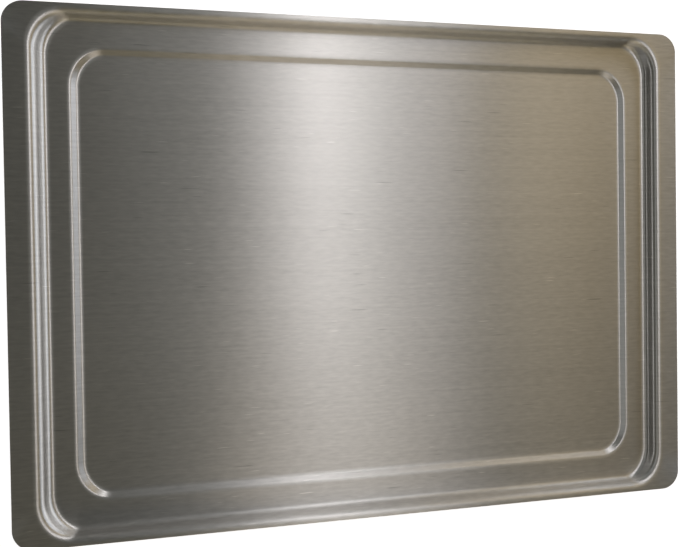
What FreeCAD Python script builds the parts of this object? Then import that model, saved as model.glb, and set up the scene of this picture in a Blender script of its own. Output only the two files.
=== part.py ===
import FreeCAD, Part
import math
import os
from collections import namedtuple

# Cookie sheet: one blank of stainless sheet, drawn into a shallow tray with a stepped floor and then
# trimmed to its outline. Lengths are millimetres and angles are degrees. +Z is up, X runs along the
# long side, and the origin is under the middle of the floor panel.

# Overall size and sheet
tray_length = 457.0
tray_width = 334.0
sheet_thickness = 0.8

# Trimmed outline of the flange, and how much of the sheet's thickness its edge is rounded by
outline_corner_radius = 13.0
edge_rounding_share = 0.4

# Flat flange, from the trimmed edge to where the shoulder starts to bend down
end_flange = 13.5
side_flange = 2.0

# Wall from the flange down to the ledge. Bend radii are those of the upper face, the angle is the
# slope's fall below the horizontal, and the corner radius is taken in plan where the bend starts.
wall_depth = 9.1
wall_angle = 67.0
shoulder_radius = 5.0
wall_foot_radius = 3.5
wall_corner_radius = 25.0

# Flat ledge inside the wall
ledge_width = 12.8

# Step from the ledge down to the floor panel, measured as the wall is
step_depth = 2.6
step_angle = 38.0
step_brow_radius = 2.0
step_foot_radius = 2.0
step_corner_radius = 25.0

# A plan outline is a rounded rectangle about the origin. A bend is a drop between two flat levels.
Plan = namedtuple("Plan", "length width corner_radius")
Bend = namedtuple("Bend", "drop angle brow_radius foot_radius")

wall = Bend(wall_depth, math.radians(wall_angle), shoulder_radius, wall_foot_radius)
step = Bend(step_depth, math.radians(step_angle), step_brow_radius, step_foot_radius)

# Levels of the upper face
panel_level = sheet_thickness
ledge_level = panel_level + step.drop
flange_level = ledge_level + wall.drop


def bend_run(bend):
    """Width in plan of a bend, from the end of the flat above it to the start of the flat below."""
    both_radii = bend.brow_radius + bend.foot_radius
    return both_radii * math.tan(bend.angle / 2) + bend.drop / math.tan(bend.angle)


def inset(plan, distance):
    """The plan moved in by a distance all round, about the same corner centres."""
    return Plan(plan.length - 2 * distance, plan.width - 2 * distance, plan.corner_radius - distance)


def plan_start(plan):
    """Where the outline's run along the +X side begins."""
    return FreeCAD.Vector(plan.length / 2, plan.corner_radius - plan.width / 2, 0)


def plan_wire(plan, level):
    """Outline of a plan at a level, from the +X side round towards +Y."""
    centre_x = plan.length / 2 - plan.corner_radius
    centre_y = plan.width / 2 - plan.corner_radius
    quadrants = [(1, -1), (1, 1), (-1, 1), (-1, -1)]
    centres = [FreeCAD.Vector(x * centre_x, y * centre_y, level) for x, y in quadrants]
    outward = [FreeCAD.Vector(1, 0, 0), FreeCAD.Vector(0, 1, 0),
               FreeCAD.Vector(-1, 0, 0), FreeCAD.Vector(0, -1, 0)]
    edges = []
    for side in range(4):
        corner = (side + 1) % 4
        begin = centres[side] + outward[side] * plan.corner_radius
        end = centres[corner] + outward[side] * plan.corner_radius
        diagonal = (outward[side] + outward[corner]).normalize()
        middle = centres[corner] + diagonal * plan.corner_radius
        turned = centres[corner] + outward[corner] * plan.corner_radius
        edges.append(Part.LineSegment(begin, end).toShape())
        edges.append(Part.Arc(end, middle, turned).toShape())
    return Part.Wire(edges)


def flat_sheet(plan, level):
    """Flat sheet inside a plan, with its upper face at a level."""
    sheet = Part.Face(plan_wire(plan, level))
    return sheet.extrude(FreeCAD.Vector(0, 0, -sheet_thickness))


def bend_line(bend, start, upper_level, depth_in_sheet):
    """Edges of a bend's section at a depth in the sheet: brow arc, slope and foot arc."""
    brow_radius = bend.brow_radius - depth_in_sheet
    foot_radius = bend.foot_radius + depth_in_sheet
    brow_centre = start + FreeCAD.Vector(0, 0, upper_level - bend.brow_radius)
    foot_level = upper_level - bend.drop + bend.foot_radius
    foot_centre = start + FreeCAD.Vector(-bend_run(bend), 0, foot_level)
    turns = [0, bend.angle / 2, bend.angle]
    lean = [FreeCAD.Vector(-math.sin(turn), 0, math.cos(turn)) for turn in turns]
    brow = [brow_centre + direction * brow_radius for direction in lean]
    foot = [foot_centre - direction * foot_radius for direction in lean]
    return [Part.Arc(brow[0], brow[1], brow[2]).toShape(),
            Part.LineSegment(brow[2], foot[2]).toShape(),
            Part.Arc(foot[2], foot[1], foot[0]).toShape()]


def bent_sheet(bend, plan, upper_level):
    """Sheet that drops from a level all round a plan, of even thickness, swept along the outline."""
    start = plan_start(plan)
    upper = bend_line(bend, start, upper_level, 0)
    lower = bend_line(bend, start, upper_level, sheet_thickness)
    outer_end = Part.LineSegment(lower[0].Vertexes[0].Point, upper[0].Vertexes[0].Point).toShape()
    inner_end = Part.LineSegment(upper[-1].Vertexes[-1].Point, lower[-1].Vertexes[-1].Point).toShape()
    section = Part.Face(Part.Wire([outer_end] + upper + [inner_end] + lower[::-1]))
    return plan_wire(plan, upper_level).makePipe(section)


def trimmed_flange(outline, shoulder_line):
    """Flat flange between the trimmed outline and the shoulder, with both trimmed edges broken."""
    blank = flat_sheet(outline, flange_level)
    level_faces = [face for face in blank.Faces if round(abs(face.normalAt(0, 0).z)) == 1]
    trimmed_edges = [edge for face in level_faces for edge in face.Edges]
    rounded = blank.makeFillet(edge_rounding_share * sheet_thickness, trimmed_edges)
    return rounded.cut(flat_sheet(shoulder_line, flange_level))


def pressed_tray():
    """The whole pressing: flange, wall, ledge, step and floor panel in one sheet."""
    outline = Plan(tray_length, tray_width, outline_corner_radius)
    shoulder_line = Plan(tray_length - 2 * end_flange, tray_width - 2 * side_flange, wall_corner_radius)
    wall_foot_line = inset(shoulder_line, bend_run(wall))
    step_line = inset(wall_foot_line, ledge_width)._replace(corner_radius=step_corner_radius)
    panel_line = inset(step_line, bend_run(step))
    flange = trimmed_flange(outline, shoulder_line)
    wall_ring = bent_sheet(wall, shoulder_line, flange_level)
    ledge = flat_sheet(wall_foot_line, ledge_level).cut(flat_sheet(step_line, ledge_level))
    step_ring = bent_sheet(step, step_line, ledge_level)
    panel = flat_sheet(panel_line, panel_level)
    return flange.fuse([wall_ring, ledge, step_ring, panel]).removeSplitter()


os.makedirs("parts", exist_ok=True)
pressed_tray().exportStep("parts/pressed_tray.step")
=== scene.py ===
import math
from collections import namedtuple

import bpy
import numpy as np
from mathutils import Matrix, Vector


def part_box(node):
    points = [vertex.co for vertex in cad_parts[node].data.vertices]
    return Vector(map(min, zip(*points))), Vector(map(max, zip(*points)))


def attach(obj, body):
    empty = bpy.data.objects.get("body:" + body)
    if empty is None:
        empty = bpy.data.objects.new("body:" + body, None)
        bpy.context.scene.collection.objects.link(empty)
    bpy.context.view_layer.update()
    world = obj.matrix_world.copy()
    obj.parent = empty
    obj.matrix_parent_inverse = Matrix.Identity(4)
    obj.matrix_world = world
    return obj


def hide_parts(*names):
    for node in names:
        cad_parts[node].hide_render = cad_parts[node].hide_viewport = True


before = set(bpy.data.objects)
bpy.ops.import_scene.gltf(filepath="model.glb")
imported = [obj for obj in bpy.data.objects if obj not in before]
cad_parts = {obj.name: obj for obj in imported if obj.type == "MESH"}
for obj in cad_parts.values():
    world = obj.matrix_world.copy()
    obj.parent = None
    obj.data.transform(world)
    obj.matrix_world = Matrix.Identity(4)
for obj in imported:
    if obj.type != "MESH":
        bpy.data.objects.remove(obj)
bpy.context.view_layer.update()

# Cookie sheet in brushed steel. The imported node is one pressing, and the mesh below draws the same
# pressing with bends that ease in from the flats. Lengths are metres.
NODE = "pressed_tray"
BODY = "root"

Plan = namedtuple("Plan", "length width corner_along corner_across")
Bend = namedtuple("Bend", "drop angle brow_radius foot_radius lead_in lead_lean corner_growth side_share")
Ring = namedtuple("Ring", "plan level lean growth side_share")
Grain = namedtuple("Grain", "along across detail seed")

# Section of the pressing, as the photo's highlights show it and within about 2 mm of the part: sheet,
# flange, wall, ledge and step. A corner's radius is given along the length and across it. The wall's
# corners are rounder at its foot than an even slope would leave them, by the bend's corner growth
# along and across. A flat eases into its bend: a bend's radius is larger by its lead-in at first,
# which fades as it leans. Along the long sides a bend's width in plan is its side share of that at
# the ends.
low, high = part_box(NODE)
tray_length = high.x - low.x
tray_width = high.y - low.y
sheet_thickness = 0.0008
edge_rounding_share = 0.4
outline_corner_radius = 0.013
end_flange = 0.0134
side_flange = 0.0023
wall_corner_along = 0.0215
wall_corner_across = 0.0230
wall = Bend(drop=0.0091, angle=math.radians(70.5), brow_radius=0.0054, foot_radius=0.0041,
            lead_in=0.011, lead_lean=math.radians(8), corner_growth=(0.0055, 0.0075), side_share=0.72)
end_ledge = 0.0126
side_ledge = 0.0150
step_corner_along = 0.0215
step_corner_across = 0.0245
step = Bend(drop=0.0026, angle=math.radians(33.5), brow_radius=0.0012, foot_radius=0.0012,
            lead_in=0.012, lead_lean=math.radians(12), corner_growth=(0, 0), side_share=1)
panel_level = low.z + sheet_thickness
ledge_level = panel_level + step.drop
flange_level = ledge_level + wall.drop

# Mesh density: points in a quarter turn, along the long and short sides, in each bend and in each
# edge arc, how strongly a bend's points crowd towards its flat, and the fine steps that sum up a bend
CORNER_SEGMENTS = 28
LONG_SEGMENTS = 30
SHORT_SEGMENTS = 22
BEND_SEGMENTS = 16
EDGE_SEGMENTS = 4
BEND_CROWDING = 1.5
SUM_STEPS = 400

# Steel: its colour, how rough it is, how far its highlights stretch across the grain, and the part of
# a full turn that points them across it
steel_colour = (0.64, 0.622, 0.594)
steel_roughness = 0.356
grain_pull = 0.966
grain_turn = 0.25

# Grain: waves in a metre along and across the brushing, with the noise's detail and seed; the last of
# them places bright marks that are painted into the colour as highlights. The noise runs from 0 to 1
# about its middle.
hairlines = Grain(along=125, across=580, detail=2, seed=1)
streaks = Grain(along=5, across=420, detail=2, seed=2)
clouds = Grain(along=9, across=12, detail=2, seed=3)
scratches = Grain(along=38, across=700, detail=1, seed=4)
# Painted highlights: bright short glint marks, painted into the steel's colour
painted_glints = Grain(along=55, across=900, detail=1, seed=5)
noise_middle = 0.5

# How much the grain changes the brightness and the roughness, how much the painted highlight marks
# brighten the colour, and the noise levels of the rare marks
hairline_shade = 0.34
streak_shade = 0.18
cloud_shade = 0.10
scratch_shade = 0.3
# How much the painted glint highlights brighten the steel's colour
painted_glint_shade = 0.4
hairline_roughness = 0.09
mark_level = 0.72
mark_full = 0.80

# Floor: a disc just under the tray that curves up at its rim, its density, its colour and roughness,
# and the glow that makes it white in view
floor_radius = 5.0
rim_radius = 0.85
floor_gap = 0.0002
FLOOR_SEGMENTS = 96
RIM_RINGS = 12
floor_grey = 0.8
floor_roughness = 0.9
floor_glow = 0.8

# Room: the dim light that comes from all round
room_colour = (0.060, 0.062, 0.056, 1)

# Camera: over the tray, to the left of its middle, turned to the right and slightly rolled
camera_height = 0.4419
camera_place = (-0.1040, 0.0190, flange_level + camera_height)
camera_turn = (-0.677, -11.648, -0.829)
camera_lens = 35.87
camera_shift = (-0.0238, -0.0330)


def bend_run(bend):
    """Width in plan of a bend with plain arcs, as the part has it."""
    both_radii = bend.brow_radius + bend.foot_radius
    return both_radii * math.tan(bend.angle / 2) + bend.drop / math.tan(bend.angle)


def inset(plan, distance, side_share=1):
    """The plan moved in by a distance at its ends, and by a share of it along its long sides."""
    side_distance = side_share * distance
    return Plan(plan.length - 2 * distance, plan.width - 2 * side_distance,
                plan.corner_along - distance, plan.corner_across - side_distance)


outline = Plan(tray_length, tray_width, outline_corner_radius, outline_corner_radius)
shoulder_line = Plan(tray_length - 2 * end_flange, tray_width - 2 * side_flange,
                     wall_corner_along, wall_corner_across)
wall_foot_line = inset(shoulder_line, bend_run(wall), wall.side_share)
step_line = Plan(wall_foot_line.length - 2 * end_ledge, wall_foot_line.width - 2 * side_ledge,
                 step_corner_along, step_corner_across)


def ring_stations():
    """Stations round any plan: the share of its corner centres, and the turn round its corners."""
    shares, turns = [], []
    quadrants = [(1, 1), (-1, 1), (-1, -1), (1, -1)]
    for corner in range(4):
        here, there = np.array(quadrants[corner]), np.array(quadrants[(corner + 1) % 4])
        for turn in np.linspace(corner, corner + 1, CORNER_SEGMENTS + 1) * math.pi / 2:
            shares.append(here)
            turns.append((math.cos(turn), math.sin(turn)))
        along = LONG_SEGMENTS if corner % 2 == 0 else SHORT_SEGMENTS
        for part in np.linspace(0, 1, along + 1)[1:-1]:
            shares.append(here + (there - here) * part)
            turns.append(turns[-1])
    return np.array(shares, float), np.array(turns, float)


SHARES, TURNS = ring_stations()


def plan_centres(plan):
    """Where each station's corner or side is measured from."""
    half = np.array([plan.length / 2 - plan.corner_along, plan.width / 2 - plan.corner_across])
    return SHARES * half


def ring_points(ring):
    """Points of a ring, one for each station."""
    flat = plan_centres(ring.plan) + TURNS * (ring.plan.corner_along, ring.plan.corner_across)
    return np.column_stack([flat, np.full(len(flat), ring.level)])


def ring_normals(ring):
    """Upward normals at a ring's points, gentler where corners grow and steeper along the long sides."""
    outward = TURNS / (ring.plan.corner_along, ring.plan.corner_across)
    outward /= np.linalg.norm(outward, axis=1, keepdims=True)
    turned = np.abs(TURNS)
    step_in = turned * (1, ring.side_share) + (1 - turned) * ring.growth
    spread = (np.abs(outward) * step_in).sum(axis=1)
    normals = np.column_stack([-math.sin(ring.lean) * outward, math.cos(ring.lean) * spread])
    return normals / np.linalg.norm(normals, axis=1, keepdims=True)


def eased_arc(bend, radius):
    """Leans of the sheet along a bend from its flat, and its run and drop up to each of them."""
    fine = np.linspace(0, bend.angle, SUM_STEPS + 1)
    middle = (fine[1:] + fine[:-1]) / 2
    eased_radius = radius + bend.lead_in * np.exp(-(middle / bend.lead_lean) ** 2)
    length = eased_radius * bend.angle / SUM_STEPS
    leans = bend.angle * np.linspace(0, 1, BEND_SEGMENTS + 1) ** BEND_CROWDING
    run = np.interp(leans, fine, np.append(0, np.cumsum(length * np.cos(middle))))
    drop = np.interp(leans, fine, np.append(0, np.cumsum(length * np.sin(middle))))
    return leans, run, drop


def bend_rings(bend, plan, upper_level):
    """Rings of a bend on the upper face, from its foot up to its brow, centred on the plain bend."""
    leans, brow_run, brow_drop = eased_arc(bend, bend.brow_radius)
    foot_run, foot_drop = eased_arc(bend, bend.foot_radius)[1:]
    slope_drop = bend.drop - brow_drop[-1] - foot_drop[-1]
    run = brow_run[-1] + slope_drop / math.tan(bend.angle) + foot_run[-1]
    start = (bend_run(bend) - run) / 2
    growth = np.array(bend.corner_growth) / run

    def ring(way_in, level, lean):
        moved = inset(plan, start + way_in, bend.side_share)
        grown = moved._replace(corner_along=moved.corner_along + growth[0] * way_in,
                               corner_across=moved.corner_across + growth[1] * way_in)
        return Ring(grown, level, lean, growth, bend.side_share)

    foot_level = upper_level - bend.drop
    foot = [ring(run - out, foot_level + rise, lean)
            for lean, out, rise in zip(leans, foot_run, foot_drop)]
    brow = [ring(way_in, upper_level - fall, lean)
            for lean, way_in, fall in zip(leans, brow_run, brow_drop)]
    return foot + brow[::-1]


def face_rings():
    """Rings of the upper face, from the floor panel out to the start of the trimmed edge."""
    rounding = edge_rounding_share * sheet_thickness
    rings = bend_rings(step, step_line, ledge_level)
    rings += bend_rings(wall, shoulder_line, flange_level)
    rings.append(Ring(inset(outline, rounding), flange_level, 0, np.zeros(2), 1))
    return rings


def edge_rings():
    """Rings over the rounded trimmed edge, from the upper face to the lower one, leaning outward."""
    rounding = edge_rounding_share * sheet_thickness
    rings = []
    for quarter, level in ((0, flange_level - rounding), (1, flange_level - sheet_thickness + rounding)):
        for turn in np.linspace(quarter, quarter + 1, EDGE_SEGMENTS + 1) * math.pi / 2:
            plan = inset(outline, rounding * (1 - math.sin(turn)))
            rings.append(Ring(plan, level + rounding * math.cos(turn), -turn, np.zeros(2), 1))
    return rings[1:-1]


def blank_rows(rings):
    """Where each ring's points lay in the flat blank, before the bends were pressed."""
    stretch = 0.0
    rows = [ring_points(rings[0])[:, :2]]
    for inner, outer in zip(rings, rings[1:]):
        out = abs(outer.plan.length - inner.plan.length) / 2
        stretch += math.hypot(out, outer.level - inner.level) - out
        rows.append(ring_points(outer)[:, :2] + TURNS * stretch)
    return rows


class SheetMesh:
    """Vertices, normals, blank coordinates and faces of the pressing."""

    def __init__(self):
        self.points, self.normals, self.blank, self.faces = [], [], [], []

    def add_points(self, points, normals, blank):
        """Adds vertices and returns their numbers."""
        first = len(self.points)
        self.points.extend(points)
        self.normals.extend(normals)
        self.blank.extend(blank)
        return list(range(first, len(self.points)))

    def add_strip(self, inner, outer):
        """Faces between two rings, seen from above when outer lies outside inner."""
        for here in range(len(inner)):
            after = (here + 1) % len(inner)
            self.faces.append((inner[here], outer[here], outer[after], inner[after]))

    def add_panel(self, rim, plan, level, side):
        """The flat floor inside a ring: a grid of quads, with a fan in each corner. side is 1 or -1."""
        centres = plan_centres(plan)
        xs = np.linspace(centres[:, 0].min(), centres[:, 0].max(), LONG_SEGMENTS + 1)
        ys = np.linspace(centres[:, 1].min(), centres[:, 1].max(), SHORT_SEGMENTS + 1)
        flat = [(x, y) for y in ys for x in xs]
        grid = self.add_points([(x, y, level) for x, y in flat], [(0, 0, side)] * len(flat), flat)
        column = np.abs(centres[:, 0:1] - xs).argmin(axis=1)
        row = np.abs(centres[:, 1:2] - ys).argmin(axis=1)
        near = [grid[place] for place in row * len(xs) + column]
        for here in range(len(rim)):
            after = (here + 1) % len(rim)
            quad = [near[here], rim[here], rim[after], near[after]]
            self.add_face(quad[:3] if near[here] == near[after] else quad, side)
        for place in range(len(grid) - len(xs)):
            if (place + 1) % len(xs):
                above = place + len(xs)
                self.add_face([grid[place], grid[place + 1], grid[above + 1], grid[above]], side)

    def add_face(self, corners, side):
        """One face, wound to look up on the upper side and down on the lower one."""
        self.faces.append(tuple(corners if side > 0 else corners[::-1]))


def pressed_sheet():
    """The whole pressing as one closed mesh object."""
    sheet = SheetMesh()
    rings = face_rings()
    blank = blank_rows(rings)
    rows = [sheet.add_points(ring_points(ring), ring_normals(ring), flat)
            for ring, flat in zip(rings, blank)]
    panel_rim = rows[0]
    rows += [sheet.add_points(ring_points(ring), ring_normals(ring), blank[-1])
             for ring in edge_rings()]
    for ring, flat in zip(rings[::-1], blank[::-1]):
        normals = ring_normals(ring)
        rows.append(sheet.add_points(ring_points(ring) - sheet_thickness * normals, -normals, flat))
    for inner, outer in zip(rows, rows[1:]):
        sheet.add_strip(inner, outer)
    sheet.add_panel(panel_rim, rings[0].plan, panel_level, 1)
    sheet.add_panel(rows[-1], rings[0].plan, panel_level - sheet_thickness, -1)
    mesh = bpy.data.meshes.new("pressed_sheet")
    mesh.from_pydata(sheet.points, [], sheet.faces)
    corners = np.zeros(len(mesh.loops), int)
    mesh.loops.foreach_get("vertex_index", corners)
    layer = mesh.uv_layers.new(name="blank")
    layer.uv.foreach_set("vector", np.array(sheet.blank)[corners].ravel())
    mesh.shade_smooth()
    mesh.normals_split_custom_set_from_vertices(sheet.normals)
    piece = bpy.data.objects.new("pressed_sheet", mesh)
    bpy.context.scene.collection.objects.link(piece)
    return piece


def add_math(tree, operation, *terms):
    """Output of a math node. Each term is a number or another node's output."""
    node = tree.nodes.new("ShaderNodeMath")
    node.operation = operation
    for socket, term in zip(node.inputs, terms):
        if isinstance(term, (int, float)):
            socket.default_value = term
        else:
            tree.links.new(term, socket)
    return node.outputs["Value"]


def grain_noise(tree, grain):
    """Noise on the flat blank, about 0, with the grain's waves."""
    blank = tree.nodes.new("ShaderNodeUVMap")
    blank.uv_map = "blank"
    stretch = tree.nodes.new("ShaderNodeMapping")
    stretch.inputs["Scale"].default_value = (grain.along, grain.across, 1)
    stretch.inputs["Location"].default_value = (grain.seed, grain.seed, grain.seed)
    noise = tree.nodes.new("ShaderNodeTexNoise")
    noise.inputs["Scale"].default_value = 1.0
    noise.inputs["Detail"].default_value = grain.detail
    tree.links.new(blank.outputs["UV"], stretch.inputs["Vector"])
    tree.links.new(stretch.outputs["Vector"], noise.inputs["Vector"])
    return add_math(tree, "SUBTRACT", noise.outputs["Fac"], noise_middle)


def rare_marks(tree, grain):
    """0 but for the highest peaks of a grain's noise, which rise to 1."""
    ramp = tree.nodes.new("ShaderNodeMapRange")
    ramp.inputs["From Min"].default_value = mark_level - noise_middle
    ramp.inputs["From Max"].default_value = mark_full - noise_middle
    tree.links.new(grain_noise(tree, grain), ramp.inputs["Value"])
    return ramp.outputs["Result"]


def brushed_steel():
    """Stainless sheet brushed along the long side, with hairlines, faint clouds, scratches, and bright
    glint marks painted into its colour as highlights.
    """
    material = bpy.data.materials.new("brushed_steel")
    material.use_nodes = True
    tree = material.node_tree
    shader = tree.nodes["Principled BSDF"]
    shader.inputs["Metallic"].default_value = 1.0
    shader.inputs["Anisotropic"].default_value = grain_pull
    shader.inputs["Anisotropic Rotation"].default_value = grain_turn
    tangent = tree.nodes.new("ShaderNodeTangent")
    tangent.direction_type = "UV_MAP"
    tangent.uv_map = "blank"
    tree.links.new(tangent.outputs["Tangent"], shader.inputs["Tangent"])

    hairline = grain_noise(tree, hairlines)
    grain_tone_and_painted_glints = add_math(tree, "MULTIPLY_ADD", hairline, hairline_shade, 1.0)
    grain_tone_and_painted_glints = add_math(tree, "MULTIPLY_ADD", grain_noise(tree, streaks), streak_shade, grain_tone_and_painted_glints)
    grain_tone_and_painted_glints = add_math(tree, "MULTIPLY_ADD", grain_noise(tree, clouds), cloud_shade, grain_tone_and_painted_glints)
    # Painted highlights: the glint marks brighten the steel's colour itself
    grain_tone_and_painted_glints = add_math(tree, "MULTIPLY_ADD", rare_marks(tree, painted_glints), painted_glint_shade, grain_tone_and_painted_glints)
    grain_tone_and_painted_glints = add_math(tree, "MULTIPLY_ADD", rare_marks(tree, scratches), -scratch_shade, grain_tone_and_painted_glints)
    tint = tree.nodes.new("ShaderNodeVectorMath")
    tint.operation = "SCALE"
    tint.inputs[0].default_value = steel_colour
    tree.links.new(grain_tone_and_painted_glints, tint.inputs["Scale"])
    tree.links.new(tint.outputs["Vector"], shader.inputs["Base Color"])
    rough = add_math(tree, "MULTIPLY_ADD", hairline, hairline_roughness, steel_roughness)
    tree.links.new(rough, shader.inputs["Roughness"])
    return material


def floor_white():
    """White floor: it takes the tray's shadow, and glows to white for the camera and for reflections."""
    material = bpy.data.materials.new("studio_white")
    material.use_nodes = True
    tree = material.node_tree
    shader = tree.nodes["Principled BSDF"]
    shader.inputs["Base Color"].default_value = (floor_grey, floor_grey, floor_grey, 1)
    shader.inputs["Roughness"].default_value = floor_roughness
    shader.inputs["Specular IOR Level"].default_value = 0.0
    shader.inputs["Emission Color"].default_value = (1, 1, 1, 1)
    path = tree.nodes.new("ShaderNodeLightPath")
    seen = add_math(tree, "MAXIMUM", path.outputs["Is Camera Ray"], path.outputs["Is Glossy Ray"])
    seen = add_math(tree, "MAXIMUM", seen, path.outputs["Is Transmission Ray"])
    tree.links.new(add_math(tree, "MULTIPLY", seen, floor_glow), shader.inputs["Emission Strength"])
    return material


def studio_floor():
    """White floor under the tray, a disc that curves up at its rim."""
    turns = np.linspace(0, 2 * math.pi, FLOOR_SEGMENTS, endpoint=False)
    profile = [(floor_radius + rim_radius * math.sin(lean), rim_radius * (1 - math.cos(lean)))
               for lean in np.linspace(0, math.pi / 2, RIM_RINGS)]
    points = [(0, 0, 0)]
    faces = []
    for reach, rise in profile:
        points += [(reach * math.cos(turn), reach * math.sin(turn), rise) for turn in turns]
    for here in range(len(turns)):
        after = (here + 1) % len(turns)
        faces.append((0, 1 + here, 1 + after))
        for ring in range(len(profile) - 1):
            inner, outer = 1 + ring * len(turns), 1 + (ring + 1) * len(turns)
            faces.append((inner + here, outer + here, outer + after, inner + after))
    mesh = bpy.data.meshes.new("studio_floor")
    mesh.from_pydata(points, [], faces)
    mesh.shade_smooth()
    mesh.materials.append(floor_white())
    floor = bpy.data.objects.new("studio_floor", mesh)
    floor.location.z = low.z - floor_gap
    bpy.context.scene.collection.objects.link(floor)


def softbox(name, lean, tilt, reach, size, level):
    """A lamp aimed at the tray, from a lean towards +X and then a tilt towards +Y, both in degrees.

    Size is its width and length, and level is its light in red, green and blue.
    """
    lamp = bpy.data.lights.new(name, "AREA")
    lamp.shape = "RECTANGLE"
    lamp.size, lamp.size_y = size
    lamp.energy = math.pi * size[0] * size[1]
    lamp.color = level
    holder = bpy.data.objects.new(name, lamp)
    lean, tilt = math.radians(lean), math.radians(tilt)
    aim = (math.cos(tilt) * math.sin(lean), math.sin(tilt), math.cos(tilt) * math.cos(lean))
    holder.location = [reach * part for part in aim]
    holder.rotation_euler = (-tilt, lean, 0)
    bpy.context.scene.collection.objects.link(holder)
    holder.visible_camera = False


def studio_light():
    """Dim room with a strip in soft panels overhead, a window low on the right, and weak fills."""
    world = bpy.data.worlds.new("studio_room")
    bpy.context.scene.world = world
    world.use_nodes = True
    world.node_tree.nodes["Background"].inputs["Color"].default_value = room_colour
    softbox("strip", lean=8.2, tilt=34, reach=1.6, size=(0.06, 1.9), level=(1.80, 1.70, 1.80))
    softbox("core", lean=9.5, tilt=27, reach=1.6, size=(0.30, 2.1), level=(0.645, 0.66, 0.655))
    softbox("overhead", lean=11.6, tilt=23, reach=1.6, size=(0.66, 2.0), level=(0.61, 0.595, 0.62))
    softbox("broad", lean=11.5, tilt=20, reach=1.6, size=(1.38, 2.1), level=(0.208, 0.212, 0.217))
    softbox("lower", lean=10.5, tilt=-49, reach=1.6, size=(0.62, 0.9), level=(0.58, 0.49, 0.38))
    softbox("upper_right", lean=36, tilt=27, reach=1.6, size=(0.50, 1.8), level=(0.475, 0.352, 0.17))
    softbox("window_top", lean=56, tilt=33, reach=3.4, size=(0.70, 3.3), level=(1.46, 1.52, 1.66))
    softbox("window", lean=75, tilt=14, reach=4.0, size=(2.1, 4.4), level=(1.24, 1.29, 1.39))
    softbox("left_near", lean=-17, tilt=10, reach=1.6, size=(0.25, 2.0), level=(0.08, 0.08, 0.08))
    softbox("left", lean=-34.5, tilt=0, reach=4.0, size=(1.05, 6.5), level=(0.35, 0.365, 0.385))
    softbox("front", lean=0, tilt=-70, reach=2.4, size=(3.0, 1.2), level=(0.32, 0.24, 0.08))


def photo_camera():
    """Camera of the main view."""
    data = bpy.data.cameras.new("photo_camera")
    data.lens = camera_lens
    data.shift_x, data.shift_y = camera_shift
    camera = bpy.data.objects.new("photo_camera", data)
    camera.location = camera_place
    camera.rotation_euler = [math.radians(angle) for angle in camera_turn]
    bpy.context.scene.collection.objects.link(camera)
    bpy.context.scene.camera = camera


tray = pressed_sheet()
tray.data.materials.append(brushed_steel())
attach(tray, BODY)
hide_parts(NODE)
studio_floor()
studio_light()
photo_camera()
bpy.context.scene.view_settings.view_transform = "Standard"
